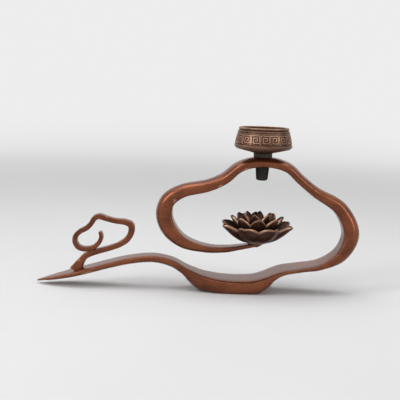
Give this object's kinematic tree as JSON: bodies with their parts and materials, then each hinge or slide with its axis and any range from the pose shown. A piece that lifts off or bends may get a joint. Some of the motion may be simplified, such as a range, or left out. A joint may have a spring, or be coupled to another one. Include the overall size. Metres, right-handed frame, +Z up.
{
  "type": "backflow incense burner",
  "caption": "Bronze cloud-scroll backflow incense burner: a cup for a cone on the crest, a smoke tube under it, a lotus that the smoke falls on and a small cloud curl.",
  "frame": {"origin": "middle of the oval foot, on the table", "axes": "+X from the blade's tip towards the right bend, +Y away from the viewer, +Z up"},
  "size_m": [0.2091, 0.0488, 0.107],
  "materials": {
    "ribbon_bronze": "polished reddish-brown patina",
    "cup_bronze": "satin dark brown patina, worn lighter on its edges",
    "dark_bronze": "smoke-blackened"
  },
  "bodies": {
    "scroll": {"scroll_body": "ribbon_bronze", "lotus_outer_petals": "cup_bronze", "lotus_middle_petals": "cup_bronze", "lotus_inner_petals": "cup_bronze", "lotus_seed_pod": "cup_bronze", "lotus_stud": "dark_bronze", "cloud_sprig": "ribbon_bronze", "sprig_peg": "dark_bronze"},
    "tube": {"smoke_tube": "dark_bronze"},
    "cup": {"censer_cup": "cup_bronze", "cone_seat": "cup_bronze"}
  },
  "joints": [
    {"name": "tube_lift", "type": "slide", "parent": "scroll", "child": "tube", "axis": [0, 0, 1], "range_m": [0, 0.03]},
    {"name": "cup_turn", "type": "hinge", "parent": "tube", "child": "cup", "pos_m": [0.0182, 0, 0.095], "axis": [0, 0, 1], "continuous": true}
  ]
}
